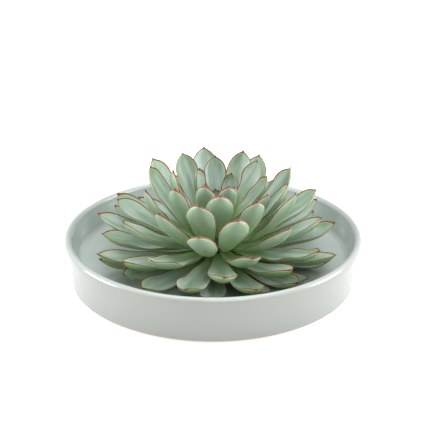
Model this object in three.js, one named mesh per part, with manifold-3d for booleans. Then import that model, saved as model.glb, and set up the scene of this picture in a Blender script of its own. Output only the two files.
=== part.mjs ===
import * as THREE from "three";
import { mergeVertices } from "three/addons/utils/BufferGeometryUtils.js";
import Module from "manifold-3d";

// All sizes are millimetres and degrees. +Z is up, the table is z = 0, the front is -Y.

// Bowl: a shallow glazed dish with a nearly upright wall.
const BOWL_HEIGHT = 38;
const BOWL_TAPER = 4;
const BOWL_WALL = 6;
const BOWL_FLOOR = 16;
const RIM_ROOM = 3.3;
const FOOT_CORNER = 5;
const INNER_CORNER = 5;
const BOWL_SIDES = 72;
const LIP_STEPS = 6;
const CORNER_STEPS = 3;

// Fit between pieces that touch in the real plant.
const GAP = 0.3;

// Stem: a short thick trunk, cut square below and domed above, leaning a little to the front.
const STEM_RADIUS = 14;
const STEM_DOME = 9;
const STEM_CENTRE = [1.6, -12.6];
const STEM_LEAN_RIGHT = 3;
const STEM_LEAN_FRONT = 3.3;
const STEM_SIDES = 24;
const DOME_STEPS = 4;
const HEART_SINK = 1;
const HEART_PACKING = 0.5;

// Growth: leaves are numbered from the youngest, each turned by the golden angle from the last.
const GOLDEN_TURN = -137.48;
const FIRST_TURN = 223.5;
const HEART_FIRST = 3;
const LEAF_FIRST = 13;
const LEAF_LAST = 84;
const SHED = [35, 56, 61, 64, 66, 67, 69, 71, 72, 74, 77, 79, 80, 81, 82];
const SEAT_ROOM = 2.3;
const FLOOR_ROOM = 1.3;

// Lean above the horizon, length and width, at equal steps from the bud to the last full ring.
const RING_SPAN = 75;
const LEANS = [95, 76, 59, 46.5, 35, 21, 12, 10.5, 10];
const LENGTHS = [14, 42, 60, 68, 73, 79, 84, 83, 78];
const WIDTHS = [8, 16, 21.5, 23, 24, 24, 23, 22.5, 22];
const THICKNESSES = [2.2, 3, 3.6, 4, 4, 4, 4, 3.6, 3.2];
const CUP = 1.6;
const TIP_CURL = 12;
const BASE_BEND = 0.3;

// No two leaves grow quite by the rule: extra turn, lean and length of those that stray most.
const STRAYS = {
  9: [-10, 0, -1],
  12: [0, -20, 3],
  13: [7, 3, -1],
  15: [2, -12, 0],
  17: [-2, 0, -2],
  19: [1, 0, -1],
  20: [-1, -4, -1],
  21: [7, 4, 0],
  22: [-8, 0, 3],
  23: [0, 6, 1],
  24: [0, 0, 2],
  25: [-1, 0, 4],
  26: [3, 7, 0],
  27: [-9, 0, 4],
  28: [0, 6, 5],
  29: [5, 4, 0],
  30: [3, 0, 3],
  31: [0, 5, 0],
  32: [-4, 0, 4],
  33: [0, -3, 5],
  34: [-1, 4, 0],
  37: [0, -10, 0],
  38: [6, -3, -5],
  39: [-4, 4, 0],
  40: [0, -5, -6],
  42: [-1, 0, 1],
  43: [0, -2, -3],
  44: [-6, 0, -8],
  45: [0, -7, 1],
  46: [3, 0, -1],
  47: [-5, -2, 2],
  50: [0, -8, -2],
  51: [0, -2, -3],
  52: [-2, 2, 0],
  53: [0, -8, -5],
  54: [1, 5, -1],
  57: [0, 6, -6],
  58: [0, 0, 2],
  59: [0, -3, -2],
  60: [1, 0, 0],
  62: [0, 2, 1],
  63: [0, -3, 3],
  65: [0, 3, 0],
  68: [0, -4, 0],
  70: [-8, 0.5, -4],
  75: [-1, -4, 0],
  76: [0, -5, -5],
  78: [-4, 0, -8],
  83: [-7, 0, -7],
  84: [0, -5, 3],
};

// Leaf outline: distance along the leaf, then shares of its width, thickness and cup.
const RINGS = [
  [0.0, 0.26, 0.55, 0.0],
  [0.2, 0.38, 0.65, 0.4],
  [0.45, 0.7, 0.85, 0.8],
  [0.68, 0.98, 1.0, 1.0],
  [0.86, 0.86, 0.95, 0.8],
  [0.96, 0.46, 0.6, 0.3],
];
const ACROSS = [1, 0.5, 0, -0.5, -1, -0.5, 0, 0.5];
const UPPER_POINTS = 5;
const BELLY_POWER = 2.4;

// Seats: every leaf base gets its own area of stem, so they wind round it at an even rise.
const WIDEST = Math.max(...WIDTHS);
const THICKEST = Math.max(...THICKNESSES);
const [, BASE_WIDE, BASE_THICK] = RINGS[0];
const LEAF_RISE = (SEAT_ROOM * BASE_WIDE * WIDEST * BASE_THICK * THICKEST) / (2 * Math.PI * STEM_RADIUS);
const DOME_LEAVES = STEM_RADIUS / (2 * LEAF_RISE);
const WOUND_LEAVES = LEAF_LAST - HEART_FIRST + 1 - DOME_LEAVES;
const STEM_SHOULDER = BOWL_FLOOR + FLOOR_ROOM + THICKEST + WOUND_LEAVES * LEAF_RISE;

// The bowl is as wide as the rosette needs, wherever the stem stands in it.
const REACH = Math.hypot(...STEM_CENTRE) + STEM_RADIUS + Math.max(...LENGTHS);
const BOWL_RADIUS = REACH + RIM_ROOM + BOWL_WALL;

const COLOURS = {
  glaze: ["#cfd6d0", 0.25],
  stem: ["#7d8a5e", 0.75],
  heart: ["#9fb48c", 0.6],
  leaf: ["#86a07d", 0.6],
};

const wasm = await Module();
wasm.setup();
const rad = THREE.MathUtils.degToRad;

// Reads a value off a row of equally spaced ones.
function along(row, t) {
  const x = THREE.MathUtils.clamp(t, 0, 1) * (row.length - 1);
  const i = Math.min(Math.floor(x), row.length - 2);
  return THREE.MathUtils.lerp(row[i], row[i + 1], x - i);
}

function solid(name, geometry, look) {
  const [colour, roughness] = COLOURS[look];
  const material = new THREE.MeshStandardMaterial({ color: colour, roughness, metalness: 0 });
  const mesh = new THREE.Mesh(geometry, material);
  mesh.name = name;
  return mesh;
}

function meshOf(points, faces) {
  const geometry = new THREE.BufferGeometry();
  geometry.setAttribute("position", new THREE.Float32BufferAttribute(points.flatMap((p) => p.toArray()), 3));
  geometry.setIndex(faces.flat());
  return geometry;
}

function manifoldOf(geometry) {
  const vertProperties = geometry.getAttribute("position").array;
  const triVerts = new Uint32Array(geometry.getIndex().array);
  return new wasm.Manifold(new wasm.Mesh({ numProp: 3, vertProperties, triVerts }));
}

function arc(list, r, z, radius, from, to, steps) {
  for (let i = 0; i <= steps; i++) {
    const a = rad(from + ((to - from) * i) / steps);
    list.push(new THREE.Vector2(r + radius * Math.cos(a), z + radius * Math.sin(a)));
  }
}

// Turns a profile of (radius, height) points about +Z.
function turned(profile, sides) {
  const lathe = new THREE.LatheGeometry(profile, sides);
  lathe.rotateX(Math.PI / 2);
  lathe.deleteAttribute("uv");
  lathe.deleteAttribute("normal");
  return mergeVertices(lathe, 1e-4);
}

function bowl() {
  const lip = BOWL_WALL / 2;
  const foot = BOWL_RADIUS - BOWL_TAPER;
  const inner = BOWL_RADIUS - BOWL_WALL;
  const floorRadius = inner - BOWL_TAPER;
  const profile = [new THREE.Vector2(0, 0)];
  arc(profile, foot - FOOT_CORNER, FOOT_CORNER, FOOT_CORNER, -90, 0, CORNER_STEPS);
  arc(profile, BOWL_RADIUS - lip, BOWL_HEIGHT - lip, lip, 0, 180, LIP_STEPS);
  arc(profile, floorRadius - INNER_CORNER, BOWL_FLOOR + INNER_CORNER, INNER_CORNER, 0, -90, CORNER_STEPS);
  profile.push(new THREE.Vector2(0, BOWL_FLOOR));
  return turned(profile, BOWL_SIDES);
}

// The stem's own frame: its axis and the two directions across it.
const AXIS = new THREE.Vector3(Math.tan(rad(STEM_LEAN_RIGHT)), -Math.tan(rad(STEM_LEAN_FRONT)), 1).normalize();
const SIDE = new THREE.Vector3(0, 1, 0).cross(AXIS).normalize();
const BACK = AXIS.clone().cross(SIDE);
const CENTRE = new THREE.Vector3(STEM_CENTRE[0], STEM_CENTRE[1], 0);

function onStem(turn, height, radius) {
  const out = SIDE.clone().multiplyScalar(Math.cos(turn)).addScaledVector(BACK, Math.sin(turn));
  return [CENTRE.clone().addScaledVector(AXIS, height).addScaledVector(out, radius), out];
}

// Where leaf n grows: its height and radius on the stem, and the slope of the bark there.
function seat(n) {
  const order = (n - HEART_FIRST + 1) * (n < LEAF_FIRST ? HEART_PACKING : 1);
  if (order >= DOME_LEAVES) {
    return [STEM_SHOULDER - (order - DOME_LEAVES) * LEAF_RISE, STEM_RADIUS, 0];
  }
  const share = Math.sqrt(order / DOME_LEAVES);
  const rise = Math.sqrt(1 - share * share);
  const slope = Math.atan2(STEM_RADIUS * rise, STEM_DOME * share);
  return [STEM_SHOULDER + STEM_DOME * rise, STEM_RADIUS * share, slope];
}

// The dome's profile between two shares of its radius, from the outside in.
function dome(profile, from, to, lift) {
  for (let i = 0; i <= DOME_STEPS; i++) {
    const share = THREE.MathUtils.lerp(from, to, i / DOME_STEPS);
    const rise = Math.sqrt(1 - share * share);
    profile.push(new THREE.Vector2(STEM_RADIUS * share, STEM_SHOULDER + STEM_DOME * rise + lift));
  }
}

function onAxis(profile) {
  const geometry = turned(profile, STEM_SIDES);
  const frame = new THREE.Matrix4().makeBasis(SIDE, BACK, AXIS);
  geometry.applyMatrix4(frame.setPosition(CENTRE));
  return geometry;
}

const HEART_SHARE = Math.sqrt((LEAF_FIRST - HEART_FIRST) / DOME_LEAVES);
const HEART_SEAM = STEM_SHOULDER + STEM_DOME * Math.sqrt(1 - HEART_SHARE * HEART_SHARE);

function stem() {
  const lean = Math.hypot(Math.tan(rad(STEM_LEAN_RIGHT)), Math.tan(rad(STEM_LEAN_FRONT)));
  const foot = BOWL_FLOOR + GAP + STEM_RADIUS * lean;
  const profile = [new THREE.Vector2(0, foot), new THREE.Vector2(STEM_RADIUS, foot)];
  dome(profile, 1, HEART_SHARE, 0);
  profile.push(new THREE.Vector2(0, HEART_SEAM));
  return onAxis(profile);
}

// The youngest leaves are still one body with the growing tip.
function heart() {
  const profile = [new THREE.Vector2(0, HEART_SEAM + GAP)];
  dome(profile, HEART_SHARE, 0, GAP);
  let body = manifoldOf(onAxis(profile));
  for (let n = HEART_FIRST; n < LEAF_FIRST; n++) {
    body = body.add(manifoldOf(leaf(n, -HEART_SINK)));
  }
  const made = body.getMesh();
  const geometry = new THREE.BufferGeometry();
  geometry.setAttribute("position", new THREE.BufferAttribute(made.vertProperties, 3));
  geometry.setIndex(new THREE.BufferAttribute(made.triVerts, 1));
  return geometry;
}

// One leaf: rings of eight points along a bent midrib, closed at the base and drawn to a point.
function leaf(n, clearance) {
  const t = n / RING_SPAN;
  const [moreTurn, moreLean, moreLength] = STRAYS[n] ?? [0, 0, 0];
  const turn = rad(FIRST_TURN + GOLDEN_TURN * n + moreTurn);
  const lean = rad(along(LEANS, t) + moreLean);
  const length = along(LENGTHS, t) + moreLength;
  const width = along(WIDTHS, t);
  const thickness = along(THICKNESSES, t);
  const [height, radius, slope] = seat(n);
  const [root, out] = onStem(turn, height, radius);
  const bark = out.clone().multiplyScalar(Math.cos(slope)).addScaledVector(AXIS, Math.sin(slope));
  const spot = root.addScaledVector(bark, clearance);
  const points = [];
  const faces = [];
  const angleAt = (s) => {
    const bend = Math.max(0, 1 - s / BASE_BEND) ** 2;
    return lean + (slope - lean) * bend + rad(TIP_CURL) * (s - 0.5);
  };
  const ends = [...RINGS.map((ring) => ring[0]), 1];
  let last = 0;
  for (const [i, s] of ends.entries()) {
    const steps = 4;
    for (let k = 0; k < steps; k++) {
      const a = angleAt(last + ((s - last) * (k + 0.5)) / steps);
      spot.addScaledVector(out, (Math.cos(a) * length * (s - last)) / steps);
      spot.addScaledVector(AXIS, (Math.sin(a) * length * (s - last)) / steps);
    }
    last = s;
    if (i === RINGS.length) {
      points.push(spot.clone());
      break;
    }
    const [, wide, thick, cup] = RINGS[i];
    const a = s === 0 ? slope : angleAt(s);
    const up = out.clone().multiplyScalar(-Math.sin(a)).addScaledVector(AXIS, Math.cos(a));
    const ahead = out.clone().multiplyScalar(Math.cos(a)).addScaledVector(AXIS, Math.sin(a));
    const across = up.clone().cross(ahead);
    for (const [j, u] of ACROSS.entries()) {
      const dip = CUP * cup * (1 - u * u);
      const belly = j < UPPER_POINTS ? 0 : thickness * thick * (1 - Math.abs(u) ** BELLY_POWER);
      const p = spot.clone().addScaledVector(across, (u * width * wide) / 2);
      points.push(p.addScaledVector(up, -dip - belly));
    }
  }
  const round = ACROSS.length;
  for (let i = 0; i + 1 < RINGS.length; i++) {
    for (let j = 0; j < round; j++) {
      const a = i * round + j;
      const b = i * round + ((j + 1) % round);
      faces.push([a, b, b + round], [a, b + round, a + round]);
    }
  }
  const tip = points.length - 1;
  for (let j = 0; j < round; j++) {
    faces.push([tip - round + j, tip - round + ((j + 1) % round), tip]);
  }
  for (let j = 1; j + 1 < round; j++) {
    faces.push([0, j + 1, j]);
  }
  return meshOf(points, faces);
}

const group = new THREE.Group();
group.add(solid("bowl", bowl(), "glaze"));
group.add(solid("stem", stem(), "stem"));
group.add(solid("heart", heart(), "heart"));
let count = 0;
for (let n = LEAF_FIRST; n <= LEAF_LAST; n++) {
  if (SHED.includes(n)) {
    continue;
  }
  count += 1;
  group.add(solid("leaf_" + String(count).padStart(2, "0"), leaf(n, GAP), "leaf"));
}

export default group;
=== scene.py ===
import math
import random

import bmesh
import bpy
from mathutils import Matrix, Vector


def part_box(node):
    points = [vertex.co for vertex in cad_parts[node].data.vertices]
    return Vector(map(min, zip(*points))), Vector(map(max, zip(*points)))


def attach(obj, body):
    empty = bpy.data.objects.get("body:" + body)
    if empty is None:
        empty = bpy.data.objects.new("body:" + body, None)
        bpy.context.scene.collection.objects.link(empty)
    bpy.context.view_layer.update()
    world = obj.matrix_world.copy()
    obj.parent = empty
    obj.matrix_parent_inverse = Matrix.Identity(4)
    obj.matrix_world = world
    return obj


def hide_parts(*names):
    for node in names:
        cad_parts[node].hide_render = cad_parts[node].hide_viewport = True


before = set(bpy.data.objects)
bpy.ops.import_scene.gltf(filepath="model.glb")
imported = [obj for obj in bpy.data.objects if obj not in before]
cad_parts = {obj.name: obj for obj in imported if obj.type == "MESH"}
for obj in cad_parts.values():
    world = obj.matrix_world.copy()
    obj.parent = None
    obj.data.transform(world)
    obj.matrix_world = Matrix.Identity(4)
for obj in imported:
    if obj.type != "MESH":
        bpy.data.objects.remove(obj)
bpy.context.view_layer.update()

# An echeveria standing bare in a shallow glazed bowl. Everything is in metres, in the frame of the
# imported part: +Z up, table at z = 0, front towards -Y.
MM = 0.001
WELD = 1e-6

# Growth: each leaf is turned by the golden angle from the one before it.
GOLDEN_TURN = math.radians(-137.48)

# Young leaves of the heart. Each row runs evenly from the bud outwards: lean in degrees, then
# length, width and thickness in millimetres.
YOUNG_COUNT = 10
YOUNG_TURN = math.radians(-188.94)
YOUNG_LEANS = [88.9, 82.8, 76.8, 71.2]
YOUNG_LENGTHS = [23.0, 31.9, 40.9, 47.0]
YOUNG_WIDTHS = [10.6, 13.1, 15.7, 17.5]
YOUNG_BELLIES = [2.5, 2.7, 3.0, 3.2]
# What some of them add to these rows: turn and lean in degrees, length in millimetres.
YOUNG_STRAYS = {3: (0, 0, -5), 6: (-10, 0, -1), 9: (0, -20, 3)}
YOUNG_DIP = 1.6 * MM
YOUNG_SINK = 1.0 * MM
YOUNG_STEPS = 24
# A young leaf leaves the stem square to it, bends to its lean over a share of its length, and
# curls a little from there to its tip.
BASE_BEND = 0.3
TIP_CURL = math.radians(12)

# The dome on top of the stem: its height, how many leaves it has room for, and how closely the
# young ones are packed on it.
STEM_DOME = 9.0 * MM
DOME_LEAVES = 19.5
DOME_PACKING = 0.5

# Leaf blade: shares of its width, belly, channel and flare along its length, base to tip.
OUTLINE = [
    (0.0, 0.3), (0.2, 0.47), (0.45, 0.79), (0.68, 1.0),
    (0.82, 0.94), (0.91, 0.69), (0.965, 0.37), (1.0, 0.03),
]
FULLNESS = [(0.0, 0.55), (0.2, 0.7), (0.45, 0.88), (0.68, 0.76), (0.86, 0.42), (0.96, 0.2), (1.0, 0.0)]
CHANNEL = [(0.0, 0.0), (0.2, 0.4), (0.45, 0.8), (0.68, 1.0), (0.86, 0.95), (0.96, 0.5), (1.0, 0.0)]
FLARE = [(0.0, 0.0), (0.45, 0.0), (0.7, 0.6), (0.85, 1.0), (0.94, 0.75), (1.0, 0.0)]
BLADE_STEPS = 38
BLADE_SIDES = 28
# Sections crowd towards the tip, and points round a section crowd towards the margins.
STEP_POWER = 1.25
MARGIN_POWER = 0.85
# A leaf this wide from its middle to its margin has the whole sag and flare, a narrow one less.
FULL_HALF = 11 * MM
SAG = 2.0 * MM
SAG_AT = 0.8
SAG_POWER = 2.2
DEEPER = 1.4
FLARE_RISE = 1.9 * MM
FLARE_POWER = 2.5
BELLY_POWER = 2.2
KEEL_REACH = 0.55
LIP = 0.5 * MM
LIP_POWER = 8
LIP_HALF = 2 * MM
POINT_LENGTH = 1.1 * MM
POINT_RADIUS = 0.5 * MM
POINT_POWER = 0.6
POINT_LIFT = 0.25
# The margins' waves: their height, how far one margin is out of step with the other, and how fast
# they set in from the base.
WAVE = 0.7 * MM
WAVE_LAG = 1.7
WAVE_ONSET = 3
# How far apart the two spots are that a direction or a slope is taken between.
HEADING_STEP = 0.02
SLOPE_STEP = 0.01
# Points this near a margin belong to both sides of the leaf.
MARGIN_AT = 0.995

# What one leaf differs by from the next, least and most: waves along a margin, their height, the
# keel, the lean of the middle to one side, the twist in degrees and the width.
RIPPLES = (1.5, 3.2)
WAVE_SHARES = (0.4, 1.4)
KEELS = (0.05, 0.14)
SLANTS = (-0.06, 0.06)
TWISTS = (-7, 7)
BREADTHS = (0.96, 1.07)

# Leaves that lie close to a neighbour: shares of the flare and of the belly that they keep.
ALL_KEPT = (1.0, 1.0)
CLOSE_LEAVES = {
    10: (1.0, 0.8), 18: (0.2, 1.0), 46: (1.0, 0.85), 49: (1.0, 0.8),
    51: (1.0, 0.75), 52: (0.2, 0.9), 55: (0.1, 0.9), 56: (0.2, 0.7),
}

# Rear leaves of the lowest rings, past what the part counts one by one: the leaf each is like, its
# steps round the spiral, and the turn in degrees and rise in millimetres that keep it clear.
REAR = [
    (42, 1, 0, 0), (46, 1, -2, 0), (48, 1, 0, 0), (49, 1, 4, -3),
    (50, 1, 0, 0), (52, -1, 0, -2), (52, 1, 0, -2),
]
RISE_PER_STEP = -0.3
REAR_SEED = 100
YOUNG_SEED = 200


def lerp(a, b, t):
    return a + (b - a) * t


def srgb(red, green, blue):
    """A colour as it shows on a screen, 0 to 255, made linear for a shader."""
    shares = [c / 255 for c in (red, green, blue)]
    return (*[c / 12.92 if c <= 0.04045 else ((c + 0.055) / 1.055) ** 2.4 for c in shares], 1.0)


def smooth(knots, values, t):
    """Reads a curve that runs smoothly through values at unevenly spaced knots."""
    t = min(max(t, knots[0]), knots[-1])
    i = max(k for k in range(len(knots) - 1) if knots[k] <= t)

    def slope(k):
        before, after = max(k - 1, 0), min(k + 1, len(knots) - 1)
        return (values[after] - values[before]) / (knots[after] - knots[before])

    span = knots[i + 1] - knots[i]
    x = (t - knots[i]) / span
    leaving, arriving = slope(i) * span, slope(i + 1) * span
    rise = 3 * x ** 2 - 2 * x ** 3
    level = values[i] * (1 - rise) + values[i + 1] * rise
    return level + leaving * (x - 2 * x ** 2 + x ** 3) + arriving * (x ** 3 - x ** 2)


def share(table, t):
    """Reads a table of places and shares."""
    return smooth([row[0] for row in table], [row[1] for row in table], t)


def evenly(values, t):
    """Reads a row of evenly spaced values, straight from each to the next."""
    x = min(max(t, 0), 1) * (len(values) - 1)
    i = min(int(x), len(values) - 2)
    return lerp(values[i], values[i + 1], x - i)


def mean(points):
    points = list(points)
    return sum(points, Vector()) / len(points)


# ---------------------------------------------------------------- nodes


class Value:
    """A shader socket. Arithmetic on it adds Math nodes."""

    def __init__(self, finish, socket):
        self.finish = finish
        self.socket = socket

    def __add__(self, other):
        return self.finish.math("ADD", self, other)

    def __sub__(self, other):
        return self.finish.math("SUBTRACT", self, other)

    def __rsub__(self, other):
        return self.finish.math("SUBTRACT", other, self)

    def __mul__(self, other):
        return self.finish.math("MULTIPLY", self, other)

    __radd__ = __add__


class Finish:
    """One material, built node by node."""

    def __init__(self, name):
        self.material = bpy.data.materials.new(name)
        self.material.use_nodes = True
        self.tree = self.material.node_tree
        self.tree.nodes.clear()

    def node(self, kind, settings, inputs, output=0):
        """Adds a node with its settings, then the values or links of its sockets."""
        made = self.tree.nodes.new("ShaderNode" + kind)
        for key, value in settings.items():
            setattr(made, key, value)
        for key, value in inputs.items():
            if isinstance(value, Value):
                self.tree.links.new(value.socket, made.inputs[key])
            else:
                made.inputs[key].default_value = value
        return Value(self, made.outputs[output]) if made.outputs else made

    def math(self, operation, a, b=0.0):
        return self.node("Math", {"operation": operation}, {0: a, 1: b})

    def mix(self, factor, a, b):
        """Colour a where the factor is 0, colour b where it is 1."""
        return self.node("Mix", {"data_type": "RGBA"}, {0: factor, 6: a, 7: b}, output=2)

    def fade(self, value, start, end):
        """0 before start, 1 after end, with a soft step between them."""
        settings = {"interpolation_type": "SMOOTHSTEP"}
        return self.node("MapRange", settings, {0: value, 1: start, 2: end, 3: 0.0, 4: 1.0})

    def read(self, attribute):
        return self.node("Attribute", {"attribute_name": attribute}, {}, output=2)

    def place(self):
        """Object coordinates, in metres."""
        return self.node("TexCoord", {}, {}, output=3)

    def vector(self, x, y, z):
        return self.node("CombineXYZ", {}, {0: x, 1: y, 2: z})

    def noise(self, vector, scale, detail=2.0, roughness=0.5, distortion=0.0):
        inputs = {"Vector": vector, "Scale": scale, "Detail": detail}
        inputs.update({"Roughness": roughness, "Distortion": distortion})
        return self.node("TexNoise", {}, inputs)

    def bump(self, height, strength, distance):
        inputs = {"Height": height, "Strength": strength, "Distance": distance}
        return self.node("Bump", {}, inputs)

    def surface(self, inputs):
        shader = self.node("BsdfPrincipled", {}, inputs)
        self.node("OutputMaterial", {}, {0: shader})
        return self.material


# ---------------------------------------------------------------- leaf skin

# The upper side's yellow-green foot is painted lighter as painted glow of light through the flesh.
LIT_UPPER_FOOT, UPPER_GREEN = srgb(158, 192, 112), srgb(150, 175, 150)
STREAK_GREEN, CLOUD_GREEN = srgb(172, 194, 177), srgb(146, 172, 146)
# The pale wax white on the upper side is partly the leaf's wax and partly painted sheen.
BLOOM_AND_SHEEN_WHITE, CHANNEL_GREEN = srgb(211, 225, 223), srgb(126, 155, 128)
# The underside's yellow-green foot is painted lighter and its grey-green tip painted darker: painted
# light and painted shade.
LIT_BELLY_FOOT, SHADED_BELLY_TIP, OLD_BELLY = srgb(162, 190, 122), srgb(117, 141, 112), srgb(130, 163, 84)
# The paler flanks of the underside are painted light.
LIT_FLANK_GREEN, BELLY_CLOUD = srgb(166, 187, 166), srgb(150, 173, 148)
PALE_SKIN, SPECK_OLIVE, HEM_GREEN = srgb(168, 188, 170), srgb(104, 124, 84), srgb(172, 192, 140)
CREAM, MARGIN_RED = srgb(232, 216, 186), srgb(118, 48, 50)
BLUSH_RED, POINT_RED = srgb(140, 62, 60), srgb(96, 38, 42)

# Where along a leaf a colour sets in and where it is full, 0 at the base to 1 at the tip.
GREEN_ONSET = (0.12, 0.6)
STREAK_ONSET = (0.1, 0.5)
BLOOM_AND_SHEEN_ONSET = (0.15, 0.7)
BELLY_ONSET = (0.3, 0.9)
HEM_ONSET = (0.3, 0.75)
MARGIN_ONSET = (0.12, 0.5)
# The same across it, 0 on the middle line to 1 at the margin.
CHANNEL_SPREAD = (0.45, 0.0)
LIT_FLANK_SPREAD = (0.45, 0.9)
# The same by millimetres from the margin, on the upper side.
HEM_BAND = (3.0, 1.0)
CREAM_BAND = (1.55, 1.0)
RED_BAND = (1.05, 0.58)
BLUSH_BAND = (2.0, 0.8)
# The same by millimetres from the tip.
BLUSH_REACH = (4.6, 1.4)
POINT_REACH = (1.7, 0.5)
# The same by age, 0 for the bud to 1 for the oldest leaf.
OLD_AGE = (0.45, 0.9)

# Distances from the margin count for this much more on the underside, so its colours are narrower.
UNDER_NARROWER = 0.9
# Each leaf's own tone, 0 to 1, picks where in the noise its pattern starts.
TONE_STRIDE = 40
FINE_START = 7
CLOUDS_PER_METRE = 95.0
SPECKS_PER_METRE = 260.0
GRAINS_PER_METRE = 900.0
FLESH_DEPTHS = (0.002, 0.003, 0.001)
SKIN_RELIEF = 0.0006


def upper_skin(f, along, spread, tone, streaks, fine, cloud):
    """The top of a leaf: green foot with painted glow, pale streaks and clouds, waxy patches partly
    painted as sheen, a darker channel.
    """
    # Painted light: the yellow-green foot is lightened to stand for light glowing through the flesh.
    green = f.mix(f.fade(along, *GREEN_ONSET), LIT_UPPER_FOOT, UPPER_GREEN)
    pale = f.fade(streaks, 0.35, 0.72) * f.fade(along, *STREAK_ONSET)
    green = f.mix(pale, green, STREAK_GREEN)
    # Painted sheen: these pale patches are partly the leaf's waxy bloom and partly painted highlights.
    bloom_and_sheen = f.fade(along, *BLOOM_AND_SHEEN_ONSET) * f.fade(streaks + fine * 0.35, 0.5, 0.86)
    bloom_and_sheen = bloom_and_sheen * (0.65 + tone * 0.3)
    skin = f.mix(bloom_and_sheen, green, BLOOM_AND_SHEEN_WHITE)
    skin = f.mix(f.fade(cloud, 0.4, 0.75) * 0.3, skin, CLOUD_GREEN)
    return f.mix(f.fade(spread, *CHANNEL_SPREAD) * 0.35, skin, CHANNEL_GREEN), bloom_and_sheen


def belly_skin(f, along, spread, age, fine, cloud):
    """The underside of a leaf: painted light at the foot and painted shade at the tip, grass green on
    old leaves, flanks paler with painted light on young ones.
    """
    # Painted light and shade: lighter towards the foot, darker towards the tip.
    green = f.mix(f.fade(along, *BELLY_ONSET), LIT_BELLY_FOOT, SHADED_BELLY_TIP)
    green = f.mix(f.fade(age, *OLD_AGE) * 0.8, green, OLD_BELLY)
    # Painted light: the flanks are paler where side light falls on the rounded underside, most on
    # young leaves.
    lit_flank = f.fade(spread, *LIT_FLANK_SPREAD) * (0.35 + fine * 0.5) * (1 - age * 0.7)
    skin = f.mix(lit_flank, green, LIT_FLANK_GREEN)
    return f.mix(f.fade(cloud, 0.45, 0.8) * 0.25, skin, BELLY_CLOUD)


def leaf_finish():
    """Glaucous succulent skin: pale wax partly painted as sheen over green, a cream and red margin, a
    dark point.
    """
    f = Finish("leaf_skin")
    along, across, under = f.read("along"), f.read("across"), f.read("under")
    edge, tip, tone, age = f.read("edge"), f.read("tip"), f.read("tone"), f.read("age")
    edge = edge * (1 + under * UNDER_NARROWER)
    spread = f.math("ABSOLUTE", across)

    start = tone * TONE_STRIDE
    streaks = f.noise(f.vector(across * 1.3, along * 1.5, start), 1.0, 2.0, 0.5, 0.5)
    fine = f.noise(f.vector(across * 4, along * 2.6, start + FINE_START), 1.0, 3.0, 0.6, 0.4)
    cloud = f.noise(f.place(), CLOUDS_PER_METRE, 3.0, 0.6)
    grain = f.noise(f.place(), GRAINS_PER_METRE, 2.0, 0.6)
    specks = f.fade(f.noise(f.place(), SPECKS_PER_METRE, 1.0, 0.4), 0.71, 0.78)

    above, bloom_and_sheen = upper_skin(f, along, spread, tone, streaks, fine, cloud)
    below = belly_skin(f, along, spread, age, fine, cloud)
    skin = f.mix(under, above, below)
    skin = f.mix(tone * 0.2, skin, PALE_SKIN)
    skin = f.mix(specks * 0.3, skin, SPECK_OLIVE)
    hem = f.fade(edge, *HEM_BAND) * f.fade(along, *HEM_ONSET)
    skin = f.mix(hem * 0.18, skin, HEM_GREEN)

    # From the skin outwards: cream, then red, with a blush round the tip and a darker point.
    shown = f.fade(along, *MARGIN_ONSET)
    wandering = edge + (fine - 0.5) * 0.4
    skin = f.mix(f.fade(wandering, *CREAM_BAND) * shown * 0.5, skin, CREAM)
    line = f.fade(wandering, *RED_BAND) * shown
    skin = f.mix(line * 0.95, skin, MARGIN_RED)
    blush = f.fade(tip, *BLUSH_REACH) * f.fade(edge + tip * 0.2, *BLUSH_BAND)
    skin = f.mix(blush * 0.8, skin, BLUSH_RED)
    skin = f.mix(f.fade(tip, *POINT_REACH), skin, POINT_RED)

    height = streaks * 0.4 + grain * 0.1 + fine * 0.2
    return f.surface({
        "Base Color": skin,
        "Roughness": 0.44 + bloom_and_sheen * 0.16 + (grain - 0.5) * 0.06 - line * 0.1,
        "Specular IOR Level": 0.5,
        "Subsurface Weight": 0.2,
        "Subsurface Radius": FLESH_DEPTHS,
        "Subsurface Scale": 1.0,
        "Normal": f.bump(height, 0.15, SKIN_RELIEF),
    })


# ---------------------------------------------------------------- stem bark

BARK_GREEN, BARK_BROWN, SCAR_BROWN = srgb(122, 134, 84), srgb(150, 132, 100), srgb(92, 80, 58)
MOTTLES_PER_METRE = 160.0
SCARS_PER_METRE = 260.0
BARK_RELIEF = 0.001


def bark_finish():
    """Corky green-brown stem with the scars of shed leaves."""
    f = Finish("stem_bark")
    place = f.place()
    mottle = f.noise(place, MOTTLES_PER_METRE, 4.0, 0.6)
    cells = {"Vector": place, "Scale": SCARS_PER_METRE}
    scars = f.node("TexVoronoi", {"feature": "DISTANCE_TO_EDGE"}, cells)
    colour = f.mix(f.fade(mottle, 0.35, 0.7), BARK_GREEN, BARK_BROWN)
    colour = f.mix(f.fade(scars, 0.12, 0.02), colour, SCAR_BROWN)
    return f.surface({
        "Base Color": colour,
        "Roughness": 0.7 + mottle * 0.15,
        "Normal": f.bump(scars + mottle * 0.4, 0.6, BARK_RELIEF),
    })


# ---------------------------------------------------------------- bowl glaze

# The lip colour is a painted highlight.
OUTER_GLAZE, LIP_HIGHLIGHT_GLAZE = srgb(151, 154, 149), srgb(204, 211, 207)
# The lining is painted darker than the floor: painted shade on the inner wall.
FLOOR_GLAZE, SHADED_LINING_GLAZE = srgb(191, 204, 200), srgb(176, 189, 184)
POOLED_GLAZE, SPECKLE_GREY = srgb(158, 164, 158), srgb(154, 160, 154)
BARE_CLAY = srgb(212, 176, 158)
GLAZE_CLOUDS_PER_METRE = 14.0
SPECKLES_PER_METRE = 420.0
NOTCHES_PER_METRE = 60.0
TURNING_MARKS_PER_METRE = 55.0
GLAZE_RELIEF = 0.001
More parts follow.
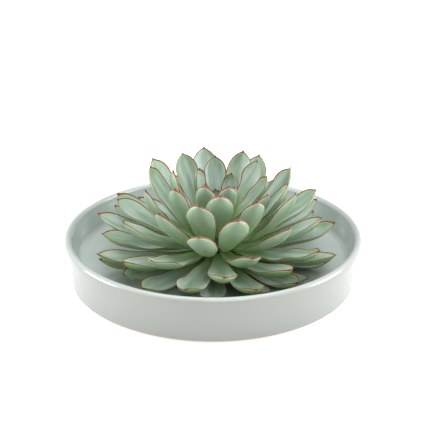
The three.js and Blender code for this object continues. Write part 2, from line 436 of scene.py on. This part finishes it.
# Heights in millimetres between which one colour passes into another: from the floor to the lining,
# painted darker as shade, then the painted highlight below the top of the lip, and the bare clay line
# above the table.
FLOOR_TO_SHADED_LINING = (18.0, 27.0)
LIP_HIGHLIGHT_BELOW = (3.0, 0.3)
CLAY_LINE = (1.15, 0.75)
# Millimetres inward from the foot's outside, between which the outer glaze becomes the lining.
INWARD = (0.3, 1.6)


def glaze_finish(height, foot):
    """Pale celadon glaze: painted shade inside, painted highlight on the lip, bare clay foot."""
    f = Finish("celadon_glaze")
    place = f.place()
    # Height and distance from the bowl's axis, both in millimetres.
    up = f.node("SeparateXYZ", {}, {0: place}, output=2) * (1 / MM)
    level = f.node("VectorMath", {"operation": "MULTIPLY"}, {0: place, 1: (1, 1, 0)})
    reach = f.node("VectorMath", {"operation": "LENGTH"}, {0: level}, output=1) * (1 / MM)
    cloud = f.noise(place, GLAZE_CLOUDS_PER_METRE, 3.0, 0.55)
    speckle = f.noise(place, SPECKLES_PER_METRE, 2.0, 0.5)

    inside = f.fade(reach, foot / MM - INWARD[0], foot / MM - INWARD[1])
    # Painted shade: the inner wall is darker than the floor.
    lining = f.mix(f.fade(up, *FLOOR_TO_SHADED_LINING), FLOOR_GLAZE, SHADED_LINING_GLAZE)
    glaze = f.mix(inside, OUTER_GLAZE, lining)
    glaze = f.mix(f.fade(cloud, 0.3, 0.7) * 0.3, glaze, POOLED_GLAZE)
    glaze = f.mix(f.fade(speckle, 0.62, 0.8) * 0.2, glaze, SPECKLE_GREY)
    # Painted highlight: the lip is painted paler towards its top.
    thin = f.fade(up, height / MM - LIP_HIGHLIGHT_BELOW[0], height / MM - LIP_HIGHLIGHT_BELOW[1])
    glaze = f.mix(thin * 0.6, glaze, LIP_HIGHLIGHT_GLAZE)

    # The glaze ends in a ragged line just above the table.
    ragged = up + (f.noise(place, NOTCHES_PER_METRE, 3.0, 0.6) - 0.5) * 0.9
    clay = f.fade(ragged, *CLAY_LINE)
    rings = {"Vector": place, "Scale": TURNING_MARKS_PER_METRE, "Distortion": 1.5}
    turning = f.node("TexWave", {"bands_direction": "Z"}, rings)
    return f.surface({
        "Base Color": f.mix(clay, glaze, BARE_CLAY),
        "Roughness": 0.16 + clay * 0.6 + cloud * 0.05,
        "Coat Weight": (1 - clay) * 0.5,
        "Coat Roughness": 0.08,
        "Normal": f.bump(turning * 0.3 + cloud * 2.0, 0.08, GLAZE_RELIEF),
    })


# ---------------------------------------------------------------- shapes


def finished(name, bm, material, stands_for=()):
    """Puts a mesh in the scene as a piece of the part."""
    bmesh.ops.remove_doubles(bm, verts=bm.verts, dist=WELD)
    bmesh.ops.recalc_face_normals(bm, faces=bm.faces)
    for face in bm.faces:
        face.smooth = True
    mesh = bpy.data.meshes.new(name)
    bm.to_mesh(mesh)
    bm.free()
    mesh.materials.append(material)
    piece = bpy.data.objects.new(name, mesh)
    bpy.context.scene.collection.objects.link(piece)
    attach(piece, "root")
    if stands_for:
        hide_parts(*stands_for)


def merged(node):
    """A copy of a CAD node's mesh with its loose triangles joined."""
    bm = bmesh.new()
    bm.from_mesh(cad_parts[node].data)
    bmesh.ops.remove_doubles(bm, verts=bm.verts, dist=WELD)
    return bm


def stem_line():
    """The stem's foot, axis, radius and length: every ring of the stem is centred on its axis."""
    low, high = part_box("stem")
    middle = (low.z + high.z) / 2
    bm = merged("stem")
    foot = mean(v.co for v in bm.verts if v.co.z < middle)
    crown = mean(v.co for v in bm.verts if v.co.z > middle)
    axis = (crown - foot).normalized()
    length = max((v.co - foot).dot(axis) for v in bm.verts)
    radius = max((v.co - foot).cross(axis).length for v in bm.verts)
    bm.free()
    return foot, axis, radius, length


FOOT, AXIS, STEM_RADIUS, STEM_LENGTH = stem_line()
ACROSS_STEM = Vector((0, 1, 0)).cross(AXIS).normalized()
SHOULDER = STEM_LENGTH - STEM_DOME * math.sqrt(1 - YOUNG_COUNT / DOME_LEAVES)


def rings_from_tip(tip):
    """The points of a CAD leaf in rings, base first: each ring is one edge nearer to the tip."""
    rings, seen, front = [], {tip}, [tip]
    while front:
        front = list({e.other_vert(v) for v in front for e in v.link_edges} - seen)
        seen.update(front)
        if front:
            rings.append([v.co.copy() for v in front])
    return rings[::-1]


def leaf_stations(node):
    """Reads a CAD leaf back, base to tip: where each section is, its sideways line, its size."""
    bm = merged(node)
    tip = max(bm.verts, key=lambda v: (v.co - FOOT).length)
    rings = rings_from_tip(tip)
    spots, sides, halves = [], [], []
    for ring in rings:
        a, b = max(((a, b) for a in ring for b in ring), key=lambda pair: (pair[0] - pair[1]).length)
        spots.append((a + b) / 2)
        sides.append((a - b).normalized())
        halves.append((a - b).length / 2)
    spots.append(tip.co.copy())
    bm.free()

    knots = [0.0]
    for a, b in zip(spots, spots[1:]):
        knots.append(knots[-1] + (b - a).length)
    length = knots[-1]

    # A side points so that the leaf's belly, where most of a ring's points are, is below it.
    for i, ring in enumerate(rings):
        ahead = (spots[i + 1] - spots[max(i - 1, 0)]).normalized()
        up = ahead.cross(sides[i]).normalized()
        if mean(ring).dot(up) > spots[i].dot(up):
            sides[i] = -sides[i]

    widest = halves.index(max(halves))
    ahead = (spots[widest + 1] - spots[widest - 1]).normalized()
    up = ahead.cross(sides[widest]).normalized()
    from_spot = [p - spots[widest] for p in rings[widest]]
    lowest = min(d.dot(up) for d in from_spot)
    near_middle = halves[widest] / 4
    channel = max(d.dot(up) for d in from_spot if abs(d.dot(sides[widest])) < near_middle)
    return {
        "knots": [k / length for k in knots],
        "spots": spots,
        "sides": sides + [sides[-1]],
        "length": length,
        "half": halves[widest],
        "belly": channel - lowest,
        "dip": -channel,
    }


def turned_blade(blade, turn, rise):
    """The same blade, turned about the stem and moved along it."""
    spin = Matrix.Rotation(turn, 4, AXIS)
    move = Matrix.Translation(AXIS * rise)
    around = move @ Matrix.Translation(FOOT) @ spin @ Matrix.Translation(-FOOT)
    copy = dict(blade)
    copy["spots"] = [around @ p for p in blade["spots"]]
    copy["sides"] = [spin @ d for d in blade["sides"]]
    return copy


class Manner:
    """How one leaf differs from the rest, drawn from its own seed."""

    def __init__(self, seed, kept):
        draw = random.Random(seed)
        self.tone = draw.random()
        self.phase = draw.random() * math.tau
        self.ripple = lerp(*RIPPLES, draw.random())
        self.wave = WAVE * kept[0] * lerp(*WAVE_SHARES, draw.random())
        self.keel = lerp(*KEELS, draw.random())
        self.slant = lerp(*SLANTS, draw.random())
        self.twist = math.radians(lerp(*TWISTS, draw.random()))
        self.breadth = lerp(*BREADTHS, draw.random())
        self.flare, self.belly = kept


class Section:
    """All that is the same round one section of a leaf, y from 0 at the base to 1 at the point."""

    def __init__(self, blade, manner, y):
        knots, spots, length, half = blade["knots"], blade["spots"], blade["length"], blade["half"]
        self.run = (length + POINT_LENGTH) * (1 - (1 - y) ** STEP_POWER)
        self.s = s = min(self.run / length, 1)
        before, after = max(s - HEADING_STEP, 0), min(s + HEADING_STEP, 1)
        ahead = (smooth(knots, spots, after) - smooth(knots, spots, before)).normalized()
        side = smooth(knots, blade["sides"], s).normalized()
        self.side = Matrix.Rotation(manner.twist * s * s, 3, ahead) @ side
        self.up = ahead.cross(self.side).normalized()

        if s < SAG_AT:
            low = (s / SAG_AT) ** 2
        else:
            low = 1 - ((s - SAG_AT) / (1 - SAG_AT)) ** SAG_POWER
        self.spot = smooth(knots, spots, s) - self.up * SAG * low * min(half / FULL_HALF, 1)
        past = self.run - length
        if past > 0:
            self.spot = self.spot + ahead * past + self.up * past * POINT_LIFT
        left = min(max(1 - past / POINT_LENGTH, 0), 1)
        point = POINT_RADIUS * left ** POINT_POWER if past > -POINT_LENGTH else 0

        self.wide = max(share(OUTLINE, s) * half * manner.breadth, point)
        before, after = max(s - SLOPE_STEP, 0), min(s + SLOPE_STEP, 1)
        slope = (share(OUTLINE, after) - share(OUTLINE, before)) * half / ((after - before) * length)
        self.lean = 1 / math.sqrt(1 + slope * slope)
        self.belly = max(share(FULLNESS, s) * blade["belly"] * manner.belly, point)
        self.dip = max(share(CHANNEL, s), 0) * blade["dip"] * DEEPER
        self.flare = max(share(FLARE, s), 0) * FLARE_RISE * manner.flare * half / FULL_HALF

    def offset(self, manner, u, below):
        """From the section's middle to a point, u from -1 at one margin to 1 at the other."""
        sheet = 1 - u * u
        rounding = math.sqrt(max(1 - abs(u) ** LIP_POWER, 0))
        lip = LIP / 2 * min(1, self.wide / LIP_HALF) * rounding
        height = self.flare * abs(u) ** FLARE_POWER - self.dip * sheet
        if below:
            ridge = max(0, 1 - abs(u) / KEEL_REACH)
            height -= self.belly * ((1 - abs(u) ** BELLY_POWER) + manner.keel * ridge) + lip
        else:
            height += lip
        swing = manner.ripple * math.tau * self.s + manner.phase + (WAVE_LAG if u > 0 else 0)
        curl = manner.wave * math.sin(swing) * u * u * min(1, WAVE_ONSET * self.s)
        along_side = (u + manner.slant * sheet * self.s) * self.wide
        return self.side * along_side + self.up * (height + curl)


def blade_mesh(blade, age, seed, kept=ALL_KEPT):
    """Rolls a grid into a closed leaf: channelled above, bellied below, thin lipped and pointed."""
    manner = Manner(seed, kept)
    bm = bmesh.new()
    names = ("along", "across", "under", "edge", "tip", "tone", "age")
    layers = {name: bm.verts.layers.float.new(name) for name in names}
    bmesh.ops.create_grid(bm, x_segments=BLADE_SIDES, y_segments=BLADE_STEPS, size=1)

    sections = {}
    for v in bm.verts:
        # The grid runs from -1 to 1: across it is once round the section, from the keel over one
        # margin, the channel and the other margin back, and along it is from base to point.
        turn, y = (v.co.x + 1) * math.pi, (v.co.y + 1) / 2
        row = round(y * BLADE_STEPS)
        if row not in sections:
            sections[row] = Section(blade, manner, y)
        section = sections[row]
        u = math.sin(turn)
        u = math.copysign(abs(u) ** MARGIN_POWER, u)
        below = math.cos(turn) > 0
        co = section.spot + section.offset(manner, u, below)
        v[layers["along"]] = section.s
        v[layers["across"]] = u
        v[layers["under"]] = 0.5 if abs(u) > MARGIN_AT else float(below)
        v[layers["edge"]] = (1 - abs(u)) * section.wide * section.lean / MM
        on_point = section.run >= blade["length"]
        v[layers["tip"]] = 0 if on_point else (co - blade["spots"][-1]).length / MM
        v[layers["tone"]] = manner.tone
        v[layers["age"]] = age
        v.co = co
    bmesh.ops.remove_doubles(bm, verts=bm.verts, dist=WELD)
    bmesh.ops.contextual_create(bm, geom=[e for e in bm.edges if e.is_boundary])
    return bm


def young_blade(order):
    """A leaf of the heart, seated on the stem's dome by the same law of growth as the rest."""
    t = order / (YOUNG_COUNT - 1)
    more_turn, more_lean, more_length = YOUNG_STRAYS.get(order, (0, 0, 0))
    turn = YOUNG_TURN + GOLDEN_TURN * order + math.radians(more_turn)
    lean = math.radians(evenly(YOUNG_LEANS, t) + more_lean)
    length = (evenly(YOUNG_LENGTHS, t) + more_length) * MM
    out = ACROSS_STEM * math.cos(turn) + AXIS.cross(ACROSS_STEM) * math.sin(turn)

    # Its seat on the dome, and the dome's slope there.
    place = math.sqrt((order + 1) * DOME_PACKING / DOME_LEAVES)
    rise = math.sqrt(1 - place * place)
    slope = math.atan2(STEM_RADIUS * rise, STEM_DOME * place)
    spot = FOOT + AXIS * (SHOULDER + STEM_DOME * rise) + out * STEM_RADIUS * place
    spot = spot - (out * math.cos(slope) + AXIS * math.sin(slope)) * YOUNG_SINK

    spots, knots = [spot.copy()], [0.0]
    for i in range(YOUNG_STEPS):
        s = (i + 0.5) / YOUNG_STEPS
        bend = max(0, 1 - s / BASE_BEND) ** 2
        a = lean + (slope - lean) * bend + TIP_CURL * (s - 0.5)
        spot = spot + (out * math.cos(a) + AXIS * math.sin(a)) * length / YOUNG_STEPS
        spots.append(spot.copy())
        knots.append((i + 1) / YOUNG_STEPS)
    side = AXIS.cross(out).normalized()
    if (spots[-1] - spots[0]).cross(side).dot(out) > 0:
        side = -side
    return {
        "knots": knots,
        "spots": spots,
        "sides": [side] * len(spots),
        "length": length,
        "half": evenly(YOUNG_WIDTHS, t) * MM / 2,
        "belly": evenly(YOUNG_BELLIES, t) * MM,
        "dip": YOUNG_DIP,
    }


def turned_piece(profile, centre, axis, steps):
    """Spins a chain of points a full turn about an axis."""
    bm = bmesh.new()
    chain = [bm.verts.new(p) for p in profile]
    edges = [bm.edges.new(pair) for pair in zip(chain, chain[1:])]
    bmesh.ops.spin(
        bm, geom=chain + edges, cent=centre, axis=axis, dvec=(0, 0, 0), angle=math.tau,
        space=Matrix.Identity(4), steps=steps, use_merge=True, use_normal_flip=False,
        use_duplicate=False,
    )
    return bm


def arc(x, z, radius, start, end, steps):
    """Points on an arc in the XZ plane, from one angle in degrees to the other."""
    angles = [math.radians(lerp(start, end, i / steps)) for i in range(steps + 1)]
    return [Vector((x + radius * math.cos(a), 0, z + radius * math.sin(a))) for a in angles]


def between(start, end, steps):
    """The points that divide a straight line in the XZ plane into steps, without its ends."""
    shares = [i / steps for i in range(1, steps)]
    return [Vector((lerp(start[0], end[0], t), 0, lerp(start[1], end[1], t))) for t in shares]


# ---------------------------------------------------------------- leaves

leaf_skin = leaf_finish()

leaves = sorted(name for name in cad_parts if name.startswith("leaf_"))
blades = {}
for number, node in enumerate(leaves, 1):
    blades[number] = leaf_stations(node)
    kept = CLOSE_LEAVES.get(number, ALL_KEPT)
    bm = blade_mesh(blades[number], number / len(leaves), number, kept)
    finished("blade_%02d" % number, bm, leaf_skin, [node])

for k, (number, steps, more_turn, more_rise) in enumerate(REAR, 1):
    turn = GOLDEN_TURN * steps + math.radians(more_turn)
    blade = turned_blade(blades[number], turn, (more_rise + RISE_PER_STEP * steps) * MM)
    bm = blade_mesh(blade, 1.0, REAR_SEED + k)
    finished("rear_blade_%02d" % k, bm, leaf_skin)

for order in range(YOUNG_COUNT):
    bm = blade_mesh(young_blade(order), 0.0, YOUNG_SEED + order)
    finished("young_blade_%02d" % (order + 1), bm, leaf_skin, ["heart"])

# ---------------------------------------------------------------- stem

# Turned finely about its own axis, with a shallow waist between the scars of shed leaves.
STEM_SIDES = 64
SCAR_RINGS = 14
SCAR_WAIST = 0.04
DOME_STEPS = 10


def stem_point(radius, rise):
    return FOOT + ACROSS_STEM * radius + AXIS * rise


profile = [FOOT.copy(), stem_point(STEM_RADIUS, 0)]
for i in range(SCAR_RINGS):
    waist = 1 - SCAR_WAIST * (i % 2)
    profile.append(stem_point(STEM_RADIUS * waist, SHOULDER * (i + 1) / SCAR_RINGS))
for i in range(1, DOME_STEPS + 1):
    a = math.pi / 2 * i / DOME_STEPS
    profile.append(stem_point(STEM_RADIUS * math.cos(a), SHOULDER + STEM_DOME * math.sin(a)))
finished("trunk", turned_piece(profile, FOOT, AXIS, STEM_SIDES), bark_finish(), ["stem"])

# ---------------------------------------------------------------- bowl

# Nearly upright wall, rounded lip, soft inner corner, a foot with a shallow recess.
BOWL_SIDES = 240
WALL = 6 * MM
TAPER = 4 * MM
FLOOR = 16 * MM
FOOT_CORNER = 3.5 * MM
INNER_CORNER = 6 * MM
FOOT_RING = 9 * MM
RECESS = 1.2 * MM
FOOT_STEPS = 8
WALL_STEPS = 8
LIP_STEPS = 14
LINING_STEPS = 5
INNER_CORNER_STEPS = 10
FLOOR_STEPS = 6
bowl_low, bowl_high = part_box("bowl")
radius = (bowl_high.x - bowl_low.x) / 2
height = bowl_high.z
lip = WALL / 2
foot = radius - TAPER
inner_floor = radius - WALL - TAPER
ring_outside = foot - FOOT_CORNER
ring_inside = ring_outside - FOOT_RING
corner_inside = inner_floor - INNER_CORNER
corner_top = FLOOR + INNER_CORNER

profile = [
    Vector((0, 0, RECESS)),
    Vector((ring_inside - RECESS, 0, RECESS)),
    Vector((ring_inside, 0, 0)),
]
profile += arc(ring_outside, FOOT_CORNER, FOOT_CORNER, -90, 0, FOOT_STEPS)
profile += between((foot, FOOT_CORNER), (radius, height - lip), WALL_STEPS)
profile += arc(radius - lip, height - lip, lip, 0, 180, LIP_STEPS)
profile += between((radius - WALL, height - lip), (inner_floor, corner_top), LINING_STEPS)
profile += arc(corner_inside, corner_top, INNER_CORNER, 0, -90, INNER_CORNER_STEPS)
profile += between((corner_inside, FLOOR), (0, FLOOR), FLOOR_STEPS)
profile.append(Vector((0, 0, FLOOR)))
dish = turned_piece(profile, (0, 0, 0), (0, 0, 1), BOWL_SIDES)
finished("dish", dish, glaze_finish(height, foot), ["bowl"])

# ---------------------------------------------------------------- stage

FLOOR_HALF = 6
FLOOR_GREY = (0.9, 0.9, 0.9, 1)
WHITE = (1, 1, 1, 1)
FLOOR_GLOW = 0.3
AMBIENT = 0.48
# Lamps: name, place, height of the spot on the bowl's axis that it faces, side and power in watts.
LAMPS = [
    ("left_box", (-1.25, -0.05, 0.36), 0.04, 0.7, 12.3),
    ("right_box", (1.25, -0.05, 0.36), 0.04, 0.7, 13),
    ("top_box", (0, 0.3, 1.6), 0.05, 1.4, 15),
    ("front_box", (0.25, -1.1, 1.15), 0.04, 0.8, 6.5),
]

bm = bmesh.new()
bmesh.ops.create_grid(bm, x_segments=1, y_segments=1, size=FLOOR_HALF)
mesh = bpy.data.meshes.new("floor")
bm.to_mesh(mesh)
bm.free()
mesh.materials.append(Finish("pale_floor").surface({
    "Base Color": FLOOR_GREY,
    "Roughness": 0.9,
    "Emission Color": WHITE,
    "Emission Strength": FLOOR_GLOW,
}))
floor = bpy.data.objects.new("floor", mesh)
bpy.context.scene.collection.objects.link(floor)

# Soft light from all round, with a white backdrop behind the part.
world = bpy.data.worlds.new("studio")
bpy.context.scene.world = world
world.use_nodes = True
nodes, links = world.node_tree.nodes, world.node_tree.links
ambient = nodes["Background"]
ambient.inputs["Color"].default_value = WHITE
ambient.inputs["Strength"].default_value = AMBIENT
backdrop = nodes.new("ShaderNodeBackground")
backdrop.inputs["Color"].default_value = WHITE
rays = nodes.new("ShaderNodeLightPath")
chosen = nodes.new("ShaderNodeMixShader")
links.new(rays.outputs["Is Camera Ray"], chosen.inputs[0])
links.new(ambient.outputs[0], chosen.inputs[1])
links.new(backdrop.outputs[0], chosen.inputs[2])
links.new(chosen.outputs[0], nodes["World Output"].inputs["Surface"])


def softbox(name, place, target_height, size, power):
    """A square lamp that faces a spot on the bowl's axis."""
    light = bpy.data.lights.new(name, "AREA")
    light.shape = "SQUARE"
    light.size = size
    light.energy = power
    lamp = bpy.data.objects.new(name, light)
    lamp.location = place
    aim = Vector((0, 0, target_height)) - Vector(place)
    lamp.rotation_euler = aim.to_track_quat("-Z", "Y").to_euler()
    bpy.context.scene.collection.objects.link(lamp)


for lamp_row in LAMPS:
    softbox(*lamp_row)

# The camera looks at the middle of the bowl's rim from the front, a little from above.
DISTANCE = 0.9
ELEVATION = math.radians(24.2)
AIM = Vector((0, 0, height))
SENSOR = 36.0
LENS = 92.85
SHIFT_RIGHT, SHIFT_UP = 0.0046, 0.0367
camera_data = bpy.data.cameras.new("camera")
camera_data.sensor_width = SENSOR
camera_data.lens = LENS
camera_data.shift_x = SHIFT_RIGHT
camera_data.shift_y = SHIFT_UP
camera = bpy.data.objects.new("camera", camera_data)
camera.location = AIM + Vector((0, -math.cos(ELEVATION), math.sin(ELEVATION))) * DISTANCE
camera.rotation_euler = (AIM - camera.location).to_track_quat("-Z", "Y").to_euler()
bpy.context.scene.collection.objects.link(camera)
bpy.context.scene.camera = camera
bpy.context.scene.view_settings.view_transform = "Standard"
